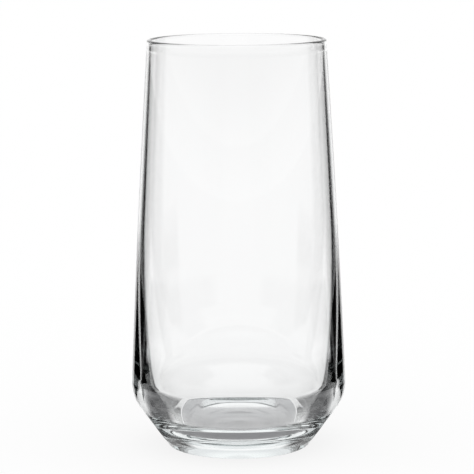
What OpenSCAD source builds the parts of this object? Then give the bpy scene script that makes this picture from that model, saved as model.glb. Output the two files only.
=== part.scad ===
// Highball glass: a tall clear tumbler with a heavy base.
// The side wall tapers gently outward from the rim down to a rounded shoulder,
// and a short cone draws the base in to a smaller foot.
// The glass is one piece: a section drawn in the plane of its axis, turned about Z.
// Millimetres, +Z up, origin at the centre of the face that it stands on.

/* [Overall] */
// Height of the glass from the table to the rim
height = 150; // [130:1:170]
// Outside diameter at the rim
rim_d = 65.2; // [61:0.1:69]
// Greatest outside diameter, at the shoulder
body_d = 79.3; // [76:0.1:86]
// Outside diameter of the foot
foot_d = 52.5; // [46:0.1:56]

/* [Outer form] */
// Radius that rounds the shoulder between the side wall and the lower cone
shoulder_r = 16; // [10:0.5:20]
// Lean of the lower cone from upright, in degrees
cone_angle = 36.2; // [32:0.1:40]
// Radius of the side wall's slight outward bow, seen in the section
wall_bow_r = 5000; // [3000:100:20000]
// Radius that rounds the edge of the foot
foot_edge_r = 0.8; // [0.4:0.1:1.5]

/* [Inner form] */
// Thickness of the wall just under the rim
rim_wall = 1.5; // [1.2:0.1:2.5]
// How far the knee of the inner wall lies inside the greatest outside diameter
knee_wall = 4.1; // [3.2:0.1:5]
// Height of the knee, where the inner wall turns in towards the floor
knee_z = 64.5; // [56:0.5:72]
// Lean of the inner wall below the knee, in degrees
lower_lean = 4.2; // [2:0.1:6]
// Length that the bend at the knee takes from the wall on each side of it
bend_l = 27; // [15:1:32]
// Radius between the inner wall and the floor
inner_corner_r = 16; // [13:0.5:19]
// Thickness of the base, from the table up to the middle of the inside floor
base_t = 7.6; // [6:0.1:10]
// Height by which the inside floor rises from its middle to its edge
floor_rise = 1.6; // [0.6:0.1:2.2]

/* [Rim] */
// Thickness of the fire-polished bead along the rim
bead_d = 1.8; // [1.5:0.1:2.6]

/* [Underside] */
// Diameter of the hollow inside the ring that the glass stands on
hollow_d = 36; // [30:0.5:48]
// Height of the hollow at its centre
hollow_h = 0.45; // [0.3:0.05:1]

/* [Hidden] */

// Steps along each kind of curve in the section
bow_steps = 24;
bend_steps = 20;
floor_steps = 10;
edge_steps = 6;
// Facets of the preview round the axis
turn_facets = 180;
$fn = turn_facets;

rim_r = rim_d / 2;
body_r = body_d / 2;
foot_r = foot_d / 2;
bead_r = bead_d / 2;
hollow_r = hollow_d / 2;

// Points of an arc about a centre, between two angles
function arc(centre, radius, from, to, steps) =
    [for (i = [0:steps]) let (a = from + (to - from) * i / steps) centre + radius * [cos(a), sin(a)]];

// Direction in degrees from one point to another
function heading(from, to) = atan2(to.y - from.y, to.x - from.x);

// The point at a length and a direction from another
function away(from, length, angle) = from + length * [cos(angle), sin(angle)];

// Radius of the dome that spans a circle and rises to a height at its middle
function dome_radius(span_r, rise) = (span_r * span_r + rise * rise) / (2 * rise);

// The place, left of the line from p to q, that lies p_gap from p and q_gap from q
function meeting(p, p_gap, q, q_gap) =
    let (span = norm(q - p))
    let (turn = acos((p_gap * p_gap + span * span - q_gap * q_gap) / (2 * p_gap * span)))
    away(p, p_gap, heading(p, q) + turn);

// Outer form: the shoulder's centre follows from the greatest diameter and the cone through the foot
shoulder_z = ((body_r - shoulder_r - foot_r) * cos(cone_angle) + shoulder_r) / sin(cone_angle);
shoulder_centre = [body_r - shoulder_r, shoulder_z];
bead_z = height - bead_r;
wall_top = [rim_r, bead_z];
bow_centre = meeting(shoulder_centre, wall_bow_r - shoulder_r, wall_top, wall_bow_r);
foot_edge_x = foot_r - foot_edge_r * tan(45 - cone_angle / 2);
foot_edge_centre = [foot_edge_x, foot_edge_r];

// Inner form: two straight walls meet at the knee, a bend rounds it, and the corner touches the lower one
inner_top = [rim_r - rim_wall, bead_z];
knee = [body_r - knee_wall, knee_z];
upper_heading = heading(knee, inner_top);
bend_turn = upper_heading - 90 + lower_lean;
bend_r = bend_l / tan(bend_turn / 2);
bend_centre = away(away(knee, bend_l, upper_heading), bend_r, upper_heading + 90);
floor_edge_z = base_t + floor_rise;
corner_z = floor_edge_z + inner_corner_r;
wall_at_corner = knee.x - (knee.y - corner_z) * tan(lower_lean);
corner_centre = [wall_at_corner - inner_corner_r / cos(lower_lean), corner_z];
floor_edge = [corner_centre.x, floor_edge_z];
floor_r = dome_radius(floor_edge.x, floor_rise);
floor_centre = [0, base_t + floor_r];

// Half section of the solid block of glass, from the axis out to the side wall
module outer_form() {
    polygon(concat(
        [[0, 0]],
        arc(foot_edge_centre, foot_edge_r, -90, -cone_angle, edge_steps),
        arc(shoulder_centre, shoulder_r, -cone_angle, heading(bow_centre, shoulder_centre), bend_steps),
        arc(bow_centre, wall_bow_r, heading(bow_centre, shoulder_centre),
            heading(bow_centre, wall_top), bow_steps),
        [[0, bead_z]]
    ));
}

// Half section of the space that the plunger leaves inside, open at the top
module inner_form() {
    polygon(concat(
        [[0, height]],
        arc(floor_centre, floor_r, -90, heading(floor_centre, floor_edge), floor_steps),
        arc(corner_centre, inner_corner_r, -90, -lower_lean, bend_steps),
        arc(bend_centre, bend_r, -lower_lean, upper_heading - 90, bow_steps),
        [inner_top],
        [[inner_top.x, height]]
    ));
}

// Half section of the fire-polished bead, on the middle of the wall
module rim_bead() {
    translate([rim_r - rim_wall / 2, bead_z])
        circle(bead_r);
}

// Half section of the shallow hollow pressed into the underside
module underside_form() {
    dome_r = dome_radius(hollow_r, hollow_h);
    dome_centre = [0, hollow_h - dome_r];
    polygon(concat(
        [[0, 0]],
        arc(dome_centre, dome_r, heading(dome_centre, [hollow_r, 0]), 90, floor_steps)
    ));
}

// The whole glass
module tumbler() {
    color([0.86, 0.92, 0.92, 0.35])
        rotate_extrude(convexity = 6)
            difference() {
                union() {
                    difference() {
                        outer_form();
                        inner_form();
                    }
                    rim_bead();
                }
                underside_form();
            }
}

tumbler();
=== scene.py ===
"""A tall clear tumbler with a heavy base, dressed and set in a plain soft studio.

Blender works in metres here, with +Z up. The sizes below are a glassmaker's, in millimetres.
"""
import logging
import math
from dataclasses import dataclass, field
from enum import Enum

import bmesh
import bpy
from mathutils import Matrix, Vector


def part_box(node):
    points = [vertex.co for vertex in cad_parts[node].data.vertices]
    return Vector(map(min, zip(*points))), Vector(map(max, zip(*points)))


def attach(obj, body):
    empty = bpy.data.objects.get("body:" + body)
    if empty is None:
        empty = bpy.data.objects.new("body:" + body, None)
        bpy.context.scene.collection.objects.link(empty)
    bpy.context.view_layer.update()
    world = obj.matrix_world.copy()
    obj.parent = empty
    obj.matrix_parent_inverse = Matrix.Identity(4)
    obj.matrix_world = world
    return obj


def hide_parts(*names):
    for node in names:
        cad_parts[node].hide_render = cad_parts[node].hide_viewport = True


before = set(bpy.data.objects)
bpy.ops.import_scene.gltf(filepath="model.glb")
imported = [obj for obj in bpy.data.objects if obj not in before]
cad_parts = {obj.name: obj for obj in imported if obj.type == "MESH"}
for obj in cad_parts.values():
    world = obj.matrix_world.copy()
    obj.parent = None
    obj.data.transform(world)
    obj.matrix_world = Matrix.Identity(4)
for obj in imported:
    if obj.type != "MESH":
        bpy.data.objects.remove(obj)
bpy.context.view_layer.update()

LOG = logging.getLogger("tumbler")
MM = 0.001
# How far the studio's cards reach from the glass, in millimetres
ROOM_R = 4000.0
PICTURE_WIDTH_PX = 474
GLASS_BOUNCES = 32
MIRROR_BOUNCES = 16
Point = tuple[float, float]


def linear(colour: str) -> tuple[float, float, float, float]:
    """Turns an sRGB hex colour into the linear values that shaders use.

    Args:
        colour: A colour such as "#e8f0ee".

    Returns:
        Red, green, blue and a full alpha, linear.
    """
    channels = [int(colour[i:i + 2], 16) / 255 for i in (1, 3, 5)]
    red, green, blue = [c / 12.92 if c <= 0.04045 else ((c + 0.055) / 1.055) ** 2.4 for c in channels]
    return red, green, blue, 1.0


def add_node(tree: bpy.types.NodeTree, kind: str, links: dict | None = None,
             **settings: object) -> bpy.types.Node:
    """Adds a node, sets its sockets and properties, and links what feeds it.

    Args:
        tree: The node tree that it joins.
        kind: The node's type, such as "ShaderNodeMath".
        links: For each input, by name or number, either a value or the output that feeds it.
        **settings: Properties of the node itself.

    Returns:
        The new node.
    """
    node = tree.nodes.new(kind)
    for name, value in settings.items():
        setattr(node, name, value)
    for name, value in (links or {}).items():
        if isinstance(value, bpy.types.NodeSocket):
            tree.links.new(value, node.inputs[name])
        else:
            node.inputs[name].default_value = value
    return node


def empty_material(name: str) -> tuple[bpy.types.Material, bpy.types.NodeTree]:
    """Makes a material with no nodes in it.

    Args:
        name: The material's name.

    Returns:
        The material and its node tree.
    """
    material = bpy.data.materials.new(name)
    material.use_nodes = True
    material.node_tree.nodes.clear()
    return material, material.node_tree


def arc(centre: Point, radius: float, start: float, end: float, steps: int) -> list[Point]:
    """Gives points along an arc.

    Args:
        centre: Centre of the arc.
        radius: Its radius.
        start: Angle of the first point, in degrees.
        end: Angle of the last point, in degrees.
        steps: Steps between the two.

    Returns:
        The points, with both ends.
    """
    angles = [math.radians(start + (end - start) * i / steps) for i in range(steps + 1)]
    return [(centre[0] + radius * math.cos(a), centre[1] + radius * math.sin(a)) for a in angles]


def heading(start: Point, end: Point) -> float:
    """Gives the direction from one point to another, in degrees."""
    return math.degrees(math.atan2(end[1] - start[1], end[0] - start[0]))


def along(start: Point, angle: float, length: float) -> Point:
    """Gives the point that lies a length away from start, at an angle in degrees."""
    turn = math.radians(angle)
    return start[0] + length * math.cos(turn), start[1] + length * math.sin(turn)


def dome_radius(span_r: float, rise: float) -> float:
    """Gives the radius of the dome that spans a circle and rises to a height at its middle."""
    return (span_r ** 2 + rise ** 2) / (2 * rise)


def evenly(points: list[Point], gap: float) -> list[Point]:
    """Fills a line with points, so that no two neighbours are further apart than a gap.

    Args:
        points: The line's own points.
        gap: The widest step that is left.

    Returns:
        The line with points added between its own.
    """
    filled = [points[0]]
    for start, end in zip(points, points[1:]):
        steps = max(1, math.ceil(math.dist(start, end) / gap))
        filled += [tuple(a + (b - a) * i / steps for a, b in zip(start, end)) for i in range(1, steps + 1)]
    return filled


@dataclass(frozen=True)
class SodaLimeGlass:
    """Clear soda-lime glass, pressed and blown in a polished mould, then fire-polished.

    It is smooth and colourless across a wall. Only along the heavy base does the eye find the cool cast
    that a little iron gives.
    """

    colour: str = "#ffffff"
    roughness: float = 0.0
    ior: float = 1.52
    tint: str = "#f0f8f8"
    tint_density: float = 8.0

    def material(self) -> bpy.types.Material:
        """Makes the glass material.

        Returns:
            The material, with the tint in its volume.
        """
        material, tree = empty_material("clear_soda_lime_glass_fire_polished")
        surface = add_node(tree, "ShaderNodeBsdfPrincipled", {
            "Base Color": linear(self.colour), "Roughness": self.roughness, "IOR": self.ior,
            "Transmission Weight": 1.0})
        volume = add_node(tree, "ShaderNodeVolumeAbsorption", {
            "Color": linear(self.tint), "Density": self.tint_density})
        add_node(tree, "ShaderNodeOutputMaterial", {
            "Surface": surface.outputs[0], "Volume": volume.outputs[0]})
        return material


@dataclass
class Tumbler:
    """The glass itself: one section, turned round its axis. Sizes are in millimetres, angles in degrees."""

    # Outside
    height: float
    body_d: float
    rim_d: float = 65.2
    foot_d: float = 52.5
    shoulder_r: float = 16.0
    cone_angle: float = 36.2
    wall_bow_r: float = 5000.0
    foot_edge_r: float = 0.8
    # Inside
    rim_wall: float = 1.5
    knee_wall: float = 3.9
    knee_z: float = 56.0
    lower_lean: float = 3.5
    bend_l: float = 27.0
    inner_corner_r: float = 18.2
    base_t: float = 7.0
    floor_rise: float = 1.6
    # Rim and underside
    bead_d: float = 1.8
    bead_blend: float = 1.6
    hollow_d: float = 36.0
    hollow_h: float = 0.45
    # Steps along each arc of the section, and round the axis
    edge_steps: int = 8
    shoulder_steps: int = 24
    bow_steps: int = 72
    bend_steps: int = 24
    corner_steps: int = 32
    floor_steps: int = 24
    bead_steps: int = 20
    hollow_steps: int = 30
    turns: int = 216
    # Widest gap between two rings, and the radius below which a ring is one point on the axis
    ring_gap: float = 2.0
    pole_r: float = 0.002

    @classmethod
    def from_frame(cls, node: str) -> "Tumbler":
        """Takes the overall size from the solid that the glass replaces.

        Args:
            node: The solid's name.

        Returns:
            A tumbler that fills the solid's box and stays inside it.
        """
        low, high = (Vector(corner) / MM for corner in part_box(node))
        return cls(height=high.z - low.z, body_d=2 * min(-low.x, high.x, -low.y, high.y))

    def outer_line(self) -> list[Point]:
        """Draws the outside from the edge of the foot up to the bead's middle height.

        Returns:
            Points of radius and height.
        """
        rim_r, body_r, foot_r = self.rim_d / 2, self.body_d / 2, self.foot_d / 2
        lean = math.radians(self.cone_angle)
        reach = body_r - self.shoulder_r - foot_r
        shoulder = (body_r - self.shoulder_r, (reach * math.cos(lean) + self.shoulder_r) / math.sin(lean))
        wall_top = (rim_r, self.height - self.bead_d / 2)
        near, far, span = self.wall_bow_r - self.shoulder_r, self.wall_bow_r, math.dist(shoulder, wall_top)
        turn = math.degrees(math.acos((near ** 2 + span ** 2 - far ** 2) / (2 * near * span)))
        bow = along(shoulder, heading(shoulder, wall_top) + turn, near)
        wall_start, wall_end = heading(bow, shoulder), heading(bow, wall_top)
        edge_inset = self.foot_edge_r * math.tan(math.radians(45 - self.cone_angle / 2))
        edge = (foot_r - edge_inset, self.foot_edge_r)
        return (arc(edge, self.foot_edge_r, -90, -self.cone_angle, self.edge_steps)
                + arc(shoulder, self.shoulder_r, -self.cone_angle, wall_start, self.shoulder_steps)
                + arc(bow, self.wall_bow_r, wall_start, wall_end, self.bow_steps)[1:])

    def inner_line(self) -> list[Point]:
        """Draws the inside from the bead's middle height down to the middle of the floor.

        Returns:
            Points of radius and height.
        """
        top = (self.rim_d / 2 - self.rim_wall, self.height - self.bead_d / 2)
        knee = (self.body_d / 2 - self.knee_wall, self.knee_z)
        upper, lower = heading(knee, top), -90 - self.lower_lean
        turn = upper - 90 + self.lower_lean
        bend_r = self.bend_l / math.tan(math.radians(turn / 2))
        bend = along(along(knee, upper, self.bend_l), upper + 90, bend_r)
        corner_z = self.base_t + self.floor_rise + self.inner_corner_r
        wall_at_corner = knee[0] - (knee[1] - corner_z) * math.tan(math.radians(self.lower_lean))
        corner = (wall_at_corner - self.inner_corner_r / math.cos(math.radians(self.lower_lean)), corner_z)
        floor_edge = (corner[0], self.base_t + self.floor_rise)
        floor_r = dome_radius(corner[0], self.floor_rise)
        floor = (0.0, self.base_t + floor_r)
        return ([top]
                + arc(bend, bend_r, upper - 90, lower + 90, self.bend_steps)
                + arc(corner, self.inner_corner_r, lower + 90, -90, self.corner_steps)
                + arc(floor, floor_r, heading(floor, floor_edge), -90, self.floor_steps)[1:])

    def rim_line(self) -> list[Point]:
        """Draws the fire-polished bead over the top of the wall, from the outside to the inside.

        Returns:
            Points of radius and height.
        """
        bead_r = self.bead_d / 2
        middle = (self.rim_d / 2 - self.rim_wall / 2, self.height - bead_r)
        return arc(middle, bead_r, 0, 180, self.bead_steps)

    def swell(self, height: float) -> float:
        """Gives how far the bead stands out from the wall at a height below it.

        Args:
            height: Height above the table.

        Returns:
            The bead's stand-out there.
        """
        depth = (self.height - self.bead_d / 2 - height) / self.bead_blend
        fade = 0.5 + 0.5 * math.cos(math.pi * min(max(depth, 0.0), 1.0))
        return (self.bead_d - self.rim_wall) / 2 * fade

    def hollow_line(self) -> list[Point]:
        """Draws the underside from its centre out across the hollow to the ring that stands on the table.

        Returns:
            Points of radius and height.
        """
        edge = (self.hollow_d / 2, 0.0)
        dome_r = dome_radius(edge[0], self.hollow_h)
        centre = (0.0, self.hollow_h - dome_r)
        return arc(centre, dome_r, 90, heading(centre, edge), self.hollow_steps)

    def section(self) -> list[Point]:
        """Joins the lines into one half section, from the axis below to the axis above the base.

        Returns:
            Points of radius and height.
        """
        outer = evenly(self.outer_line(), self.ring_gap)[:-1]
        inner = evenly(self.inner_line(), self.ring_gap)[1:]
        outer = [(r + self.swell(z), z) for r, z in outer]
        inner = [(r - self.swell(z), z) for r, z in inner]
        return evenly(self.hollow_line(), self.ring_gap) + outer + self.rim_line() + inner

    def build(self) -> bpy.types.Object:
        """Turns the section round the axis.

        Returns:
            The glass as a smooth closed mesh.
        """
        shell = bmesh.new()
        angles = [math.tau * k / self.turns for k in range(self.turns)]
        rings: list[list[bmesh.types.BMVert]] = []
        for radius, height in self.section():
            ring = [(radius * MM * math.cos(a), radius * MM * math.sin(a), height * MM) for a in angles]
            if radius < self.pole_r:
                ring = [(0, 0, height * MM)]
            rings.append([shell.verts.new(place) for place in ring])
        for below, above in zip(rings, rings[1:]):
            for k in range(self.turns):
                corners = [below[k % len(below)], below[(k + 1) % len(below)],
                           above[(k + 1) % len(above)], above[k % len(above)]]
                shell.faces.new(list(dict.fromkeys(corners)))
        bmesh.ops.recalc_face_normals(shell, faces=shell.faces)
        mesh = bpy.data.meshes.new("tumbler_glass")
        shell.to_mesh(mesh)
        shell.free()
        mesh.shade_smooth()
        piece = bpy.data.objects.new("tumbler_glass", mesh)
        bpy.context.collection.objects.link(piece)
        return piece

    def dress(self, piece: bpy.types.Object, finish: SodaLimeGlass) -> None:
        """Gives the glass its material and its place in the frame.

        Args:
            piece: The glass.
            finish: What it is made of.
        """
        piece.data.materials.append(finish.material())
        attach(piece, "root")
        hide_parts("tumbler")


class Tone(Enum):
    """Tones that the studio's cards are lit to, as sRGB colours."""

    BLACK = "#080808"
    DIM = "#626263"
    GREY = "#7a7a7c"
    SILVER = "#a8a8aa"
    PALE = "#dcdcdd"
    CLOUD = "#eaeaeb"


# A share of a row, the tone there and how much the card covers there
Stop = tuple[float, Tone, float]


@dataclass(frozen=True)
class MattCard:
    """Matt card, lit unevenly. The glass shows its tones along its edges, one melting into the next."""

    def material(self) -> bpy.types.Material:
        """Makes the card material.

        Returns:
            A material that shows the tone that each place of a card is lit to.
        """
        material, tree = empty_material("matt_card")
        tone = add_node(tree, "ShaderNodeAttribute", attribute_name="tone")
        clear = add_node(tree, "ShaderNodeBsdfTransparent")
        shown = add_node(tree, "ShaderNodeEmission", {"Color": tone.outputs["Color"], "Strength": 1.0})
        both = add_node(tree, "ShaderNodeMixShader", {
            0: tone.outputs["Alpha"], 1: clear.outputs[0], 2: shown.outputs[0]})
        add_node(tree, "ShaderNodeOutputMaterial", {"Surface": both.outputs[0]})
        material.cycles.emission_sampling = "NONE"
        return material


def soft_edged(tone: Tone, full_from: float, full_to: float = 1.0) -> tuple[Stop, ...]:
    """Gives the stops of a card of one tone that fades in, and out again if its end is soft too.

    Args:
        tone: The card's tone.
        full_from: The share of a row from which the card covers fully.
        full_to: The share up to which it does. At 1 the end stays hard.

    Returns:
        The stops.
    """
    stops = (0.0, tone, 0.0), (full_from, tone, 1.0), (full_to, tone, 1.0)
    return stops if full_to == 1.0 else stops + ((1.0, tone, 0.0),)


@dataclass(frozen=True)
class Row:
    """One row of a card, an arc round the axis. Azimuth 0 is behind the glass.

    Distances and heights are in millimetres, azimuths in degrees. The cover goes from 0 to 1.
    """

    distance: float
    height: float
    start: float
    end: float
    cover: float = 1.0


@dataclass(frozen=True)
class Card:
    """A card swept round the glass, alike on its left and right.

    The stops give the tone and the cover at shares of a row, so edges can be soft.
    """

    name: str
    rows: tuple[Row, ...]
    stops: tuple[Stop, ...]
    steps: int = 48

    def shade(self, place: float) -> tuple[float, float, float, float]:
        """Gives the card's colour and cover at a share of a row.

        Args:
            place: The share, from 0 at the row's start to 1 at its end.

        Returns:
            Red, green and blue, linear, and the cover.
        """
        stops = [(share, linear(tone.value)[:3] + (cover,)) for share, tone, cover in self.stops]
        for (start, first), (end, second) in zip(stops, stops[1:]):
            if place <= end:
                share = (place - start) / (end - start)
                return tuple(a + (b - a) * share for a, b in zip(first, second))
        return stops[-1][1]

    def build(self, rig: bpy.types.Object, finish: bpy.types.Material) -> None:
        """Curves the card round the axis on both sides and hangs it on the camera's rig.

        Args:
            rig: What the card turns with.
            finish: The material of all the cards.
        """
        places = sorted({i / self.steps for i in range(self.steps + 1)} | {stop[0] for stop in self.stops})
        corners, faces, tones = [], [], []
        width = len(self.rows)
        for side in (-1, 1):
            for i, place in enumerate(places):
                *colour, cover = self.shade(place)
                for row in self.rows:
                    turn = math.radians(side * (row.start + (row.end - row.start) * place))
                    reach = row.distance * MM
                    corners.append((reach * math.sin(turn), reach * math.cos(turn), row.height * MM))
                    tones.append((*colour, cover * row.cover))
                last = len(corners) - 1
                if i:
                    faces += [(k, k - 1, k - 1 - width, k - width)
                              for k in range(last, last - width + 1, -1)]
        mesh = bpy.data.meshes.new(self.name)
        mesh.from_pydata(corners, [], faces)
        layer = mesh.color_attributes.new("tone", "FLOAT_COLOR", "POINT")
        for point, colour in zip(layer.data, tones):
            point.color = colour
        card = bpy.data.objects.new(self.name, mesh)
        bpy.context.collection.objects.link(card)
        mesh.materials.append(finish)
        card.visible_camera = card.visible_diffuse = card.visible_shadow = False
        card.parent = rig
        card.matrix_parent_inverse = rig.matrix_world.inverted()


@dataclass(frozen=True)
class OpalAcrylic:
    """Opal acrylic sheet, cast and lit softly from below: an even white that still takes a light shadow.

    The shares say how much of the white is light that falls on the sheet, and so can be shadowed, as the
    camera sees it and as it is seen through the glass.
    """

    colour: str = "#ffffff"
    lit_share: float = 0.15
    lit_share_through_glass: float = 0.2

    def material(self) -> bpy.types.Material:
        """Makes the table's material.

        Returns:
            A white that the camera and the glass see at full strength.
        """
        material, tree = empty_material("opal_acrylic_cast")
        path = add_node(tree, "ShaderNodeLightPath")
        direct = path.outputs["Is Camera Ray"]
        seen = direct
        for ray in ("Is Glossy Ray", "Is Transmission Ray"):
            either = add_node(tree, "ShaderNodeMath", {0: seen, 1: path.outputs[ray]}, operation="MAXIMUM")
            seen = either.outputs[0]
        lit = add_node(tree, "ShaderNodeMapRange", {
            "Value": direct, "To Min": self.lit_share_through_glass, "To Max": self.lit_share})
        own = add_node(tree, "ShaderNodeMath", {0: 1.0, 1: lit.outputs[0]}, operation="SUBTRACT")
        glow = add_node(tree, "ShaderNodeMath", {0: seen, 1: own.outputs[0]}, operation="MULTIPLY")
        sheet = add_node(tree, "ShaderNodeBsdfDiffuse", {"Color": lit.outputs[0]})
        light = add_node(tree, "ShaderNodeEmission", {
            "Color": linear(self.colour), "Strength": glow.outputs[0]})
        both = add_node(tree, "ShaderNodeAddShader", {0: sheet.outputs[0], 1: light.outputs[0]})
        add_node(tree, "ShaderNodeOutputMaterial", {"Surface": both.outputs[0]})
        material.cycles.emission_sampling = "NONE"
        return material


@dataclass
class ProductCamera:
    """The camera at the photograph's viewing angle. Sizes are in millimetres, angles in degrees."""

    distance: float = 820.0
    height: float = 205.9
    aside: float = -0.3
    pitch: float = 8.92
    roll: float = -0.347
    focal_px: float = 2255.0
    sensor: float = 36.0
    near_clip: float = 10.0

    def build(self) -> bpy.types.Object:
        """Makes the camera and gives it to the scene.

        Returns:
            The camera.
        """
        lens = bpy.data.cameras.new("product_camera")
        lens.sensor_width = self.sensor
        lens.lens = self.focal_px / PICTURE_WIDTH_PX * self.sensor
        lens.clip_start = self.near_clip * MM
        camera = bpy.data.objects.new("product_camera", lens)
        bpy.context.collection.objects.link(camera)
        tilt = Matrix.Rotation(math.radians(90 - self.pitch), 4, "X")
        place = Matrix.Translation(Vector((self.aside, -self.distance, self.height)) * MM)
        camera.matrix_world = place @ tilt @ Matrix.Rotation(math.radians(self.roll), 4, "Z")
        bpy.context.scene.camera = camera
        bpy.context.view_layer.update()
        return camera


@dataclass
class Studio:
    """The table, the white tent over it and the cards that draw the edges of the glass.

    Sizes are in millimetres. The cloths, the floor's painted shade and the foot's shade lie a hair above the
    table.
    """

    table_width: float = 24000.0
    table_drop: float = 0.02
    light_colour: str = "#ffffff"
    table: OpalAcrylic = field(default_factory=OpalAcrylic)
    cards: tuple[Card, ...] = (
        # Cloths from beside the glass to far behind it, which give the wall its dark edges
        Card("black_cloths",
             (Row(58, 0.5, 58, 66), Row(85, 0.5, 49, 66), Row(110, 0.5, 43, 66), Row(150, 0.5, 37, 66),
              Row(200, 0.5, 33, 66), Row(300, 0.5, 29, 66), Row(400, 0.5, 26.5, 66),
              Row(ROOM_R, 0.5, 25, 66)),
             soft_edged(Tone.BLACK, full_from=0.12, full_to=0.8)),
        # Painted shade: the table as the glass shows it, a little less bright in front and at the sides than
        # behind
        Card("painted_floor_shade", (Row(42, 0.3, 58, 180), Row(ROOM_R, 0.3, 58, 180)),
             soft_edged(Tone.PALE, full_from=0.08)),
        # The black bands of the lower wall, where it thickens
        Card("near_cloths",
             (Row(62, 0.8, 57, 150), Row(92, 0.8, 57, 150), Row(110, 0.8, 57, 150, cover=0)),
             soft_edged(Tone.BLACK, full_from=0.04, full_to=0.85)),
        Card("side_cloths",
             (Row(128, 0.6, 62, 95, cover=0), Row(150, 0.6, 62, 95), Row(280, 0.6, 62, 95),
              Row(322, 0.6, 62, 95, cover=0)),
             soft_edged(Tone.BLACK, full_from=0.1, full_to=0.85)),
        # The grey crescents in the lower corners
        Card("foot_cloths", (Row(28, 0.8, 60, 118), Row(62, 0.8, 60, 118)),
             soft_edged(Tone.DIM, full_from=0.25, full_to=0.8)),
        # The shaded table under the foot, which gives the grey disc and the band in the base
        Card("foot_shade", (Row(0.05, -0.01, 0, 180), Row(25.8, -0.01, 0, 180)),
             ((0, Tone.SILVER, 1), (0.45, Tone.SILVER, 1), (0.65, Tone.GREY, 1), (1, Tone.GREY, 1))),
        # The room beyond the tent's open sides, which draws thin dark lines up the wall
        Card("dark_room",
             (Row(ROOM_R, 0, 22, 180, cover=0), Row(ROOM_R, 300, 22, 180), Row(3700, 1500, 22, 180),
              Row(3400, 2300, 22, 180, cover=0)),
             soft_edged(Tone.BLACK, full_from=0.04)),
        # Dark streaks at the sides of the base
        Card("side_flags",
             (Row(2970, 1450, 60, 135, cover=0), Row(2830, 1700, 60, 135), Row(1900, 2700, 60, 135),
              Row(1650, 2860, 60, 135, cover=0)),
             soft_edged(Tone.BLACK, full_from=0.15, full_to=0.85)),
        # The tent's roof, which is not quite as bright as its back
        Card("ceiling",
             (Row(3700, 1800, 0, 180, cover=0), Row(3200, 2700, 0, 180), Row(1500, 3900, 0, 180),
              Row(1, 4200, 0, 180)),
             ((0, Tone.CLOUD, 1), (1, Tone.CLOUD, 1))),
    )

    def build_table(self) -> None:
        """Lays the table's surface a hair below the ring that the glass stands on."""
        half = self.table_width / 2 * MM
        mesh = bpy.data.meshes.new("table")
        corners = [(-half, -half, 0), (half, -half, 0), (half, half, 0), (-half, half, 0)]
        mesh.from_pydata(corners, [], [(0, 1, 2, 3)])
        table = bpy.data.objects.new("table", mesh)
        table.location.z = -self.table_drop * MM
        bpy.context.collection.objects.link(table)
        mesh.materials.append(self.table.material())

    def build_tent(self) -> None:
        """Surrounds the table with even white light."""
        world = bpy.data.worlds.new("white_tent")
        bpy.context.scene.world = world
        world.use_nodes = True
        tree = world.node_tree
        tree.nodes.clear()
        light = add_node(tree, "ShaderNodeBackground", {"Color": linear(self.light_colour), "Strength": 1.0})
        add_node(tree, "ShaderNodeOutputWorld", {"Surface": light.outputs[0]})

    def build(self, camera: bpy.types.Object) -> None:
        """Sets up the whole studio.

        Args:
            camera: The camera, which the cards turn with.
        """
        self.build_table()
        self.build_tent()
        finish = MattCard().material()
        for card in self.cards:
            card.build(camera, finish)
            LOG.info("card %s", card.name)


def set_picture() -> None:
    """Sets how the picture is read: plain colour, and enough bounces for light inside a thick base."""
    scene = bpy.context.scene
    scene.view_settings.view_transform = "Standard"
    cycles = scene.cycles
    cycles.max_bounces = GLASS_BOUNCES
    cycles.transmission_bounces = GLASS_BOUNCES
    cycles.glossy_bounces = MIRROR_BOUNCES
    cycles.caustics_reflective = False
    cycles.caustics_refractive = False
    cycles.use_denoising = True


def main() -> None:
    """Builds the camera, the studio and the glass, in that order."""
    logging.basicConfig(level=logging.INFO, format="%(name)s: %(message)s")
    set_picture()
    Studio().build(ProductCamera().build())
    glass = Tumbler.from_frame("tumbler")
    piece = glass.build()
    glass.dress(piece, SodaLimeGlass())
    LOG.info("piece %s: %d faces", piece.name, len(piece.data.polygons))


if __name__ == "__main__":
    main()
